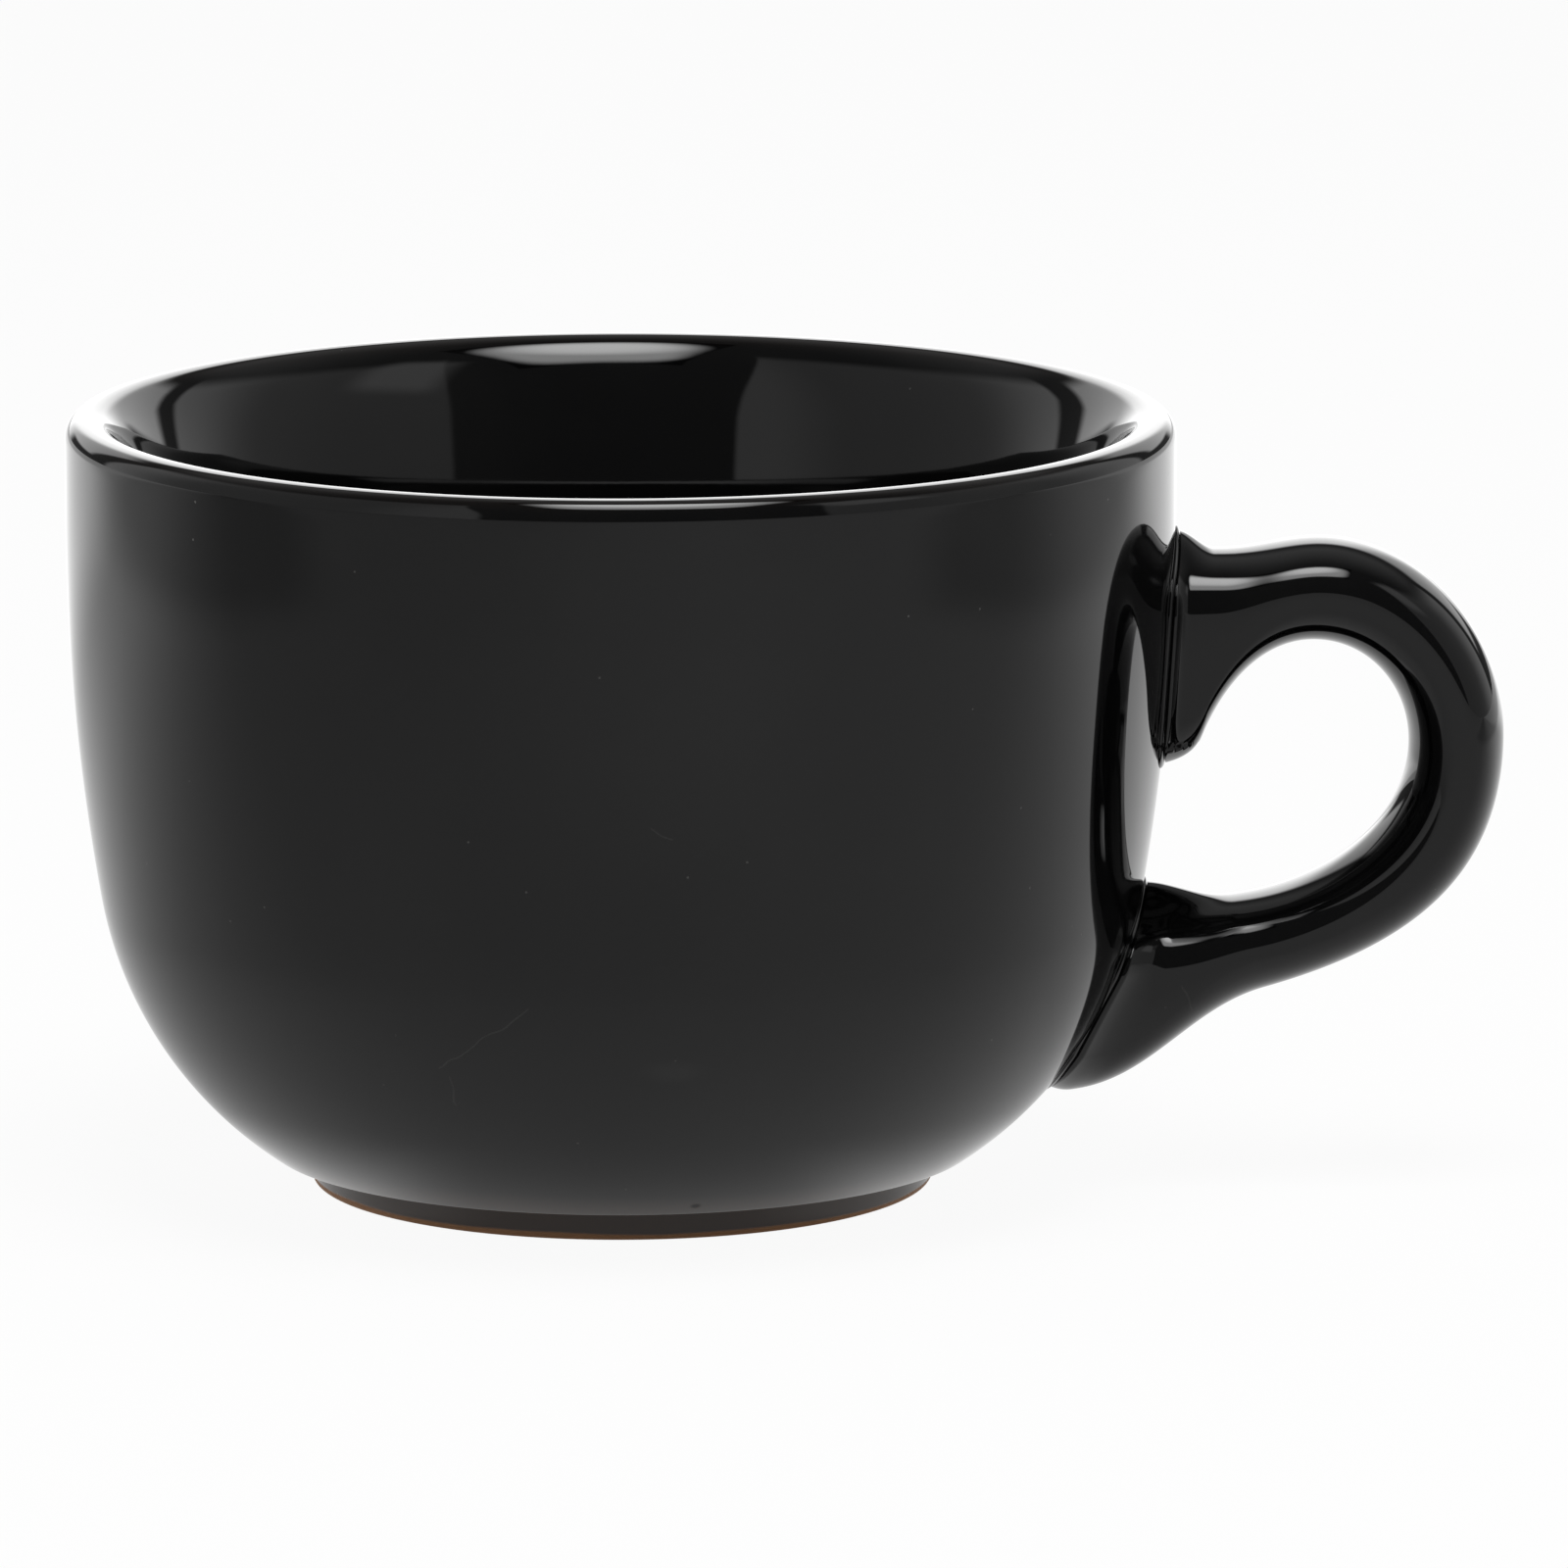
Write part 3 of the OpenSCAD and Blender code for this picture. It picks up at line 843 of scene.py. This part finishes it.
film = cloud.step(*FILM_CLOUD) * FILM_SHARE + smudge * SMUDGE_SHARE
dusty = film + specks * SPECK_SHARE + grains + hairlines * HAIR_SHARE
colour = coat.blend(thin_glaze_and_foot_highlight, BLACK, BROWN)
colour = coat.blend(dusty, colour, DUST)
colour = coat.blend(bare, colour, CLAY)
# Painted shade of the pit, black over every other layer.
colour = coat.blend(pit_shade, colour, BLACK)
dull = (film * FILM_DULL + specks + grains + hairlines * HAIR_DULL + bare).maths("MINIMUM", 1.0)
glass = coat.node("ShaderNodeBsdfPrincipled", {}, {
    "Base Color": colour,
    "Roughness": GLOSS + dull * DULLNESS,
    "Metallic": pit_shade,
    "IOR": GLASS_IOR,
    "Normal": bump,
})
coat.node("ShaderNodeOutputMaterial", {}, {"Surface": glass})
coat.report("black glaze")

coated = {"body": cup, "handle": handle, "upper_slip_joint": upper_joint, "lower_slip_joint": lower_joint}
for node, made in coated.items():
    made.data.materials.append(black_glaze)
    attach(made, "root")
    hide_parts(node)

# %% [markdown]
# ## The paper
# The mug stands on white paper, which is far brighter to the camera than in the black mirror of the
# glaze. A real studio gets there with many lamps. Here the paper tells the rays apart: a camera ray sees
# plain white, a mirrored ray sees a map of how bright the paper is, and any other ray meets matt paper,
# which keeps the shadow. In that map the paper grows lighter to the back, to the right and close to the
# foot, and darker far out at the sides.

# %% Brightness of the paper in the mirror
PAPER_HALF, PAPER_Z = 6.0, 0.0
MIRRORED = 0.36
BACK, BACK_GAIN = (-0.08, 0.16), 0.6
RIGHT, RIGHT_GAIN = (-0.25, 0.15), 0.14
NEAR_SQ, NEAR_GAIN = (0.014, 0.004), 0.1
FLANK_SQ, FLANK_NEAR_SQ, FLANK_GAIN = (0.0002, 0.0008), (0.0022, 0.0012), 0.35
WIDE_SQ, WIDE_BACK, WIDE_LOSS = (0.10, 0.19), (-0.28, -0.15), 0.4
FAR, FAR_GAIN = (0.22, 0.36), 0.6


def sheet(name, low, high, level):
    """A level rectangle between two corners."""
    (left, front), (right, back) = low, high
    corners = [[left, front, level], [right, front, level], [right, back, level], [left, back, level]]
    mesh = bpy.data.meshes.new(name)
    mesh.from_pydata(corners, [], [[0, 1, 2, 3]])
    return put_in_scene(name, mesh)


floor = sheet("floor", (-PAPER_HALF, -PAPER_HALF), (PAPER_HALF, PAPER_HALF), PAPER_Z)
floor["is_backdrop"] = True
paper = bpy.data.materials.new("paper")
pulp = Tree(paper)
floor_x, floor_y = pulp.axes(pulp.node("ShaderNodeTexCoord", out="Object"), "XY")
aside_sq = floor_x * floor_x
away_sq = aside_sq + floor_y * floor_y
near = away_sq.step(*NEAR_SQ) * NEAR_GAIN
flanks = aside_sq.step(*FLANK_SQ) * away_sq.step(*FLANK_NEAR_SQ) * FLANK_GAIN
wide = aside_sq.step(*WIDE_SQ) * floor_y.step(*WIDE_BACK)
lit = MIRRORED + floor_x.step(*RIGHT) * RIGHT_GAIN + near + flanks + floor_y.step(*BACK) * BACK_GAIN
mirrored = lit * (1 - wide * WIDE_LOSS) * (1 + floor_y.step(*FAR) * FAR_GAIN)
pulp.report("brightness of the paper")

# %% [markdown]
# The map now meets the rays. Emission gives the white that the camera sees and the brightness in the
# mirror, a Diffuse node is the matt paper, and Mix Shader chooses between them by the kind of ray. From
# below, the paper is clear, so that the underside of the mug can be looked at as well.

# %% The paper for each kind of ray
PAPER_WHITE, MATT = 1.04, (0.8, 0.8, 0.8, 1)
CAMERA_SHARE, MIRROR_SHARE = 0.9, 0.8

by_camera = pulp.node("ShaderNodeLightPath", out="Is Camera Ray")
by_mirror = pulp.node("ShaderNodeLightPath", out="Is Glossy Ray")
shown = by_camera * PAPER_WHITE + by_mirror * mirrored
glowing = pulp.node("ShaderNodeEmission", {}, {"Color": shown, "Strength": 1.0})
matt = pulp.node("ShaderNodeBsdfDiffuse", {}, {"Color": MATT})
chosen = by_camera * CAMERA_SHARE + by_mirror * MIRROR_SHARE
white = pulp.node("ShaderNodeMixShader", {}, {0: chosen, 1: matt, 2: glowing})
from_below = pulp.node("ShaderNodeNewGeometry", out="Backfacing")
clear = pulp.node("ShaderNodeBsdfTransparent")
one_sided = pulp.node("ShaderNodeMixShader", {}, {0: from_below, 1: white, 2: clear})
pulp.node("ShaderNodeOutputMaterial", {}, {"Surface": one_sided})
floor.data.materials.append(paper)
pulp.report("paper")

# %% [markdown]
# ## The room
# A black mirror is drawn by its room. The long pale bands down the mug's sides are two large panels, left
# and right, with slanting edges. A backdrop behind the mug draws the line along the front of the rim, and
# a small card lights the arch of the handle. They could be planes with lamps, but as areas of the World's
# directions they light the mug evenly and are never in the way. A direction is an azimuth, 0 to the front
# and positive to the right, and an elevation, both in degrees.

# %% Panels to the left and the right
TO_DEGREES = 180 / np.pi
LEFT_EDGE, LEFT_END = (-28, -30), (-134, -131)
RIGHT_EDGE, RIGHT_END = (42, 44), (137, 134)
SLANT_EL, SLANT_POWER, SLANT_TURN = 60, 3.0, 20
PANEL_TOP, TOP_FALL = (86, 76), 0.36
PANEL_LIGHT = 0.29
REAR, REAR_GAIN = (100, 128), 0.3
LEFT_IN, LEFT_OUT, LEFT_GAIN = (-62, -36), (0, -20), 0.2

world = bpy.data.worlds.new("studio")
bpy.context.scene.world = world
room = Tree(world)
way_x, way_y, way_z = room.axes(room.node("ShaderNodeTexCoord", out="Generated"), "XYZ")
azimuth = way_x.maths("ARCTAN2", way_y * -1.0) * TO_DEGREES
elevation = way_z.maths("ARCSINE") * TO_DEGREES
turned = azimuth.maths("ABSOLUTE")
slant = (elevation.maths("MAXIMUM", 0.0) * (1 / SLANT_EL)).maths("POWER", SLANT_POWER) * SLANT_TURN
left = (azimuth + slant).step(*LEFT_EDGE) * azimuth.step(*LEFT_END)
right = (azimuth - slant).step(*RIGHT_EDGE) * azimuth.step(*RIGHT_END)
below_top = (elevation + turned * TOP_FALL).step(*PANEL_TOP)
near_edge = azimuth.step(*LEFT_IN) * azimuth.step(*LEFT_OUT)
panel_light = PANEL_LIGHT + turned.step(*REAR) * REAR_GAIN + near_edge * LEFT_GAIN
panels = (left + right) * below_top * panel_light
room.report("panels")

# %% [markdown]
# The backdrop is brightest straight behind the mug, and at its two flanks it ends a little above the
# paper. Over it hangs a faint haze of stray light, and the whole room has a dim light of its own. To the
# camera the room is plain white, like the paper.

# %% Backdrop, card and haze
ROOM_DIM = 0.075
BACKDROP, BACKDROP_LIGHT = (141, 145), 1.1
MIDDLE, MIDDLE_LIGHT = (160, 172), 1.3
BACKDROP_TOP = (32, 26)
GAP, GAP_TOP = (163, 157), (8, 5)
CARD_LEFT, CARD_RIGHT, CARD_LOW, CARD_HIGH, CARD_LIGHT = (48, 58), (84, 72), (34, 42), (60, 54), 0.4
HAZE, HAZE_TOP, HAZE_LOW, HAZE_LIGHT = (80, 150), (90, 50), (32, 45), 0.2

gap = turned.step(*GAP) * elevation.step(*GAP_TOP)
backdrop_light = turned.step(*BACKDROP) * BACKDROP_LIGHT + turned.step(*MIDDLE) * MIDDLE_LIGHT
backdrop = backdrop_light * elevation.step(*BACKDROP_TOP) * (1 - gap)
card_width = azimuth.step(*CARD_LEFT) * azimuth.step(*CARD_RIGHT)
card = card_width * elevation.step(*CARD_LOW) * elevation.step(*CARD_HIGH)
haze = turned.step(*HAZE) * elevation.step(*HAZE_TOP) * elevation.step(*HAZE_LOW)
room_light = ROOM_DIM + panels + backdrop + haze * HAZE_LIGHT + card * CARD_LIGHT
to_camera = room.node("ShaderNodeLightPath", out="Is Camera Ray")
seen_room = room_light * (1 - to_camera) + to_camera
background = room.node("ShaderNodeBackground", {}, {"Color": seen_room, "Strength": 1.0})
room.node("ShaderNodeOutputWorld", {}, {"Surface": background})
room.report("room")

# %% [markdown]
# ## The key lamp
# The broad highlight inside the mug is the mirror image of a softbox overhead: cloth with a lamp behind
# it, bright at the middle and fading towards a rounded edge. An area lamp has the same light all over and
# a hard edge, so the lamp is a sheet whose emission is worked out. The fourth powers of the distances, as
# shares of half the sheet, make the rounded edge, and a hot spot lies where the bulb is.

# %% Key lamp
KEY_LOW, KEY_HIGH, KEY_LEVEL = (-0.21, -0.55), (0.36, 0.04), 1.0
KEY_RADIANCE = 8.0
EDGE_POWER, EDGE_FADE = 4.0, (1.0, 0.15)
HOT_SPOT, HOT_SQ, HOT_GAIN, CLOTH_LIGHT = (0.05, -0.12), (0.06, 0.0), 0.6, 0.55

key = sheet("key", KEY_LOW, KEY_HIGH, KEY_LEVEL)
key.visible_camera = False
key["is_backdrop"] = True
cloth = bpy.data.materials.new("cloth")
weave = Tree(cloth)
edge_reach = 0.0
from_hot_sq = 0.0
weave_axes = weave.axes(weave.node("ShaderNodeTexCoord", out="Object"), "XY")
for on_cloth, low, high, hot in zip(weave_axes, KEY_LOW, KEY_HIGH, HOT_SPOT):
    from_middle = (on_cloth - (low + high) / 2) * (2 / (high - low))
    edge_reach = from_middle.maths("ABSOLUTE").maths("POWER", EDGE_POWER) + edge_reach
    from_hot_sq = (on_cloth - hot) * (on_cloth - hot) + from_hot_sq
cloth_light = CLOTH_LIGHT + from_hot_sq.step(*HOT_SQ) * HOT_GAIN
lamp_light = edge_reach.step(*EDGE_FADE) * cloth_light * KEY_RADIANCE
shining = weave.node("ShaderNodeEmission", {}, {"Color": lamp_light, "Strength": 1.0})
weave.node("ShaderNodeOutputMaterial", {}, {"Surface": shining})
key.data.materials.append(cloth)
weave.report("key lamp")

# %% [markdown]
# ## The camera
# The mug was seen by a long lens from a little above the rim, so its two sides stay almost parallel and
# the mouth is a thin ellipse. The lens is written as a focal length in pixels of the square frame, which
# becomes millimetres on the sensor. The camera stands at a distance and a rise from a point on the axis,
# and is then pitched and turned. Its three axes could come from a Track To constraint, but worked out
# here they stay as they are.

# %% Camera
FRAME_PX = 1600
FOCAL_PX = 13584
SENSOR = 36.0
AIM_H, REACH, RISE_DEG = 0.038, 1.350, 10.64
PITCH_DEG, YAW_DEG = -10.54, 0.711

camera = bpy.data.cameras.new("camera")
camera.sensor_width = SENSOR
camera.lens = FOCAL_PX / FRAME_PX * SENSOR
viewer = put_in_scene("camera", camera)
rise, pitch, yaw = np.radians([RISE_DEG, PITCH_DEG, YAW_DEG])
forward = np.array([np.sin(yaw) * np.cos(pitch), np.cos(yaw) * np.cos(pitch), np.sin(pitch)])
rightward = np.array([np.cos(yaw), -np.sin(yaw), 0])
upward = np.cross(rightward, forward)
stand = np.array([0, -REACH * np.cos(rise), AIM_H + REACH * np.sin(rise)])
pose = np.eye(4)
pose[:3] = np.stack([rightward, upward, -forward, stand], axis=1)
viewer.matrix_world = Matrix(pose.tolist())
bpy.context.scene.camera = viewer
bpy.context.scene.view_settings.view_transform = "Standard"
print("camera at", np.round(stand, 4), "with a", round(camera.lens, 1), "mm lens")

# %% [markdown]
# ## A last measure
# The pieces have to keep the size of the CAD model, so the box around everything visible is measured
# again and printed, as the box from the start was.

# %% Measure the visual box again
low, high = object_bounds()
print("visual box in mm:", box_mm(low, high))
